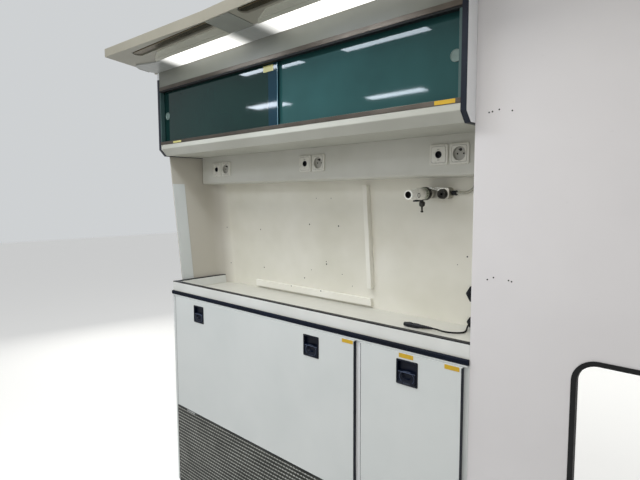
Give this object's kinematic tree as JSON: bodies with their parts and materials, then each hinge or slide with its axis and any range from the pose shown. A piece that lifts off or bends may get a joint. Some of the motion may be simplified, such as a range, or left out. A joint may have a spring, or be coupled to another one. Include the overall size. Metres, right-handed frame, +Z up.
{
  "type": "ambulance side wall storage unit",
  "caption": "Fitted side wall storage unit for an ambulance: flap cupboards, a tray worktop, a sliding glass overhead locker, a lamp canopy and a tall hatch module.",
  "frame": {"origin": "on the floor, in the middle of the unit's overall length and depth", "axes": "+X along the wall from the rear door towards the cab, +Y into the wall, +Z up"},
  "size_m": [2.098, 0.571, 1.83],
  "materials": {
    "black_plastic": "black moulded plastic",
    "black_rubber": "black rubber trim",
    "bright_metal": "nickel plated brass fitting",
    "clear_tubing": "cloudy clear tubing",
    "cream_lining": "cream moulded lining, soft gloss",
    "grab_metal": "warm reflecting metal",
    "lamp_diffuser": "prismatic lamp diffuser",
    "navy_edging": "navy plastic edging",
    "plate_plastic": "mid grey plastic plate",
    "plated_steel": "zinc plated steel",
    "pull_plastic": "clear tinted finger pull",
    "rail_aluminium": "anodised extrusion",
    "seal_plastic": "pale grey flexible seal",
    "socket_white": "white moulded plate",
    "teal_glass": "tinted sliding glass",
    "tread_aluminium": "tread pattern sheet",
    "warm_board": "warm white laminate, satin",
    "white_laminate": "cool white laminate, satin"
  },
  "bodies": {
    "cabinet": {"back_lining": "cream_lining", "base_dividers": "warm_board", "base_ends": "white_laminate", "black_lead": "black_rubber", "bumper_strip": "navy_edging", "canopy": "cream_lining", "canopy_bridges": "cream_lining", "canopy_nose": "cream_lining", "canopy_roof": "cream_lining", "cover_plates": "plate_plastic", "cupboard_back": "warm_board", "cupboard_floor": "warm_board", "floor_brackets": "plated_steel", "flow_selector": "bright_metal", "front_rails": "white_laminate", "grab_rails": "grab_metal", "hatch_trim": "black_rubber", "hinge_plates": "plated_steel", "horizontal_trunking": "cream_lining", "hose_ferrule": "black_plastic", "kick_board": "warm_board", "kick_plate": "tread_aluminium", "lamps": "lamp_diffuser", "lead_outlet": "black_plastic", "lead_plug": "black_plastic", "locker_back": "warm_board", "locker_end_edgings": "navy_edging", "locker_ends": "white_laminate", "locker_fascia": "cream_lining", "locker_floor": "cream_lining", "locker_top": "warm_board", "low_voltage_sockets": "socket_white", "lower_rail": "rail_aluminium", "mains_sockets": "socket_white", "oxygen_block": "bright_metal", "oxygen_hose": "clear_tubing", "pillar_cover": "white_laminate", "rail_gasket": "black_rubber", "rib_strips": "socket_white", "side_seals": "seal_plastic", "socket_channel": "cream_lining", "tall_boards": "warm_board", "tall_front": "white_laminate", "tall_sides": "white_laminate", "upper_rail": "rail_aluminium", "upstand_edging": "navy_edging", "vertical_trunking": "cream_lining", "worktop_tray": "white_laminate"},
    "large_flap": {"large_flap_panel": "white_laminate", "large_flap_edging": "navy_edging", "large_flap_latches": "black_plastic", "large_flap_hinge_leaves": "plated_steel"},
    "small_flap": {"small_flap_panel": "white_laminate", "small_flap_edging": "navy_edging", "small_flap_latches": "black_plastic", "small_flap_hinge_leaves": "plated_steel"},
    "left_glass": {"left_glass_pane": "teal_glass", "left_glass_pull": "pull_plastic"},
    "right_glass": {"right_glass_pane": "teal_glass", "right_glass_pull": "pull_plastic"}
  },
  "joints": [
    {"name": "large_flap_hinge", "type": "hinge", "parent": "cabinet", "child": "large_flap", "pos_m": [-0.4995, -0.0445, 0.354], "axis": [1, 0, 0], "range_deg": [0, 90]},
    {"name": "small_flap_hinge", "type": "hinge", "parent": "cabinet", "child": "small_flap", "pos_m": [0.1765, -0.0445, 0.354], "axis": [1, 0, 0], "range_deg": [0, 90]},
    {"name": "left_glass_slide", "type": "slide", "parent": "cabinet", "child": "left_glass", "axis": [1, 0, 0], "range_m": [0, 0.645]},
    {"name": "right_glass_slide", "type": "slide", "parent": "cabinet", "child": "right_glass", "axis": [-1, 0, 0], "range_m": [0, 0.645]}
  ]
}
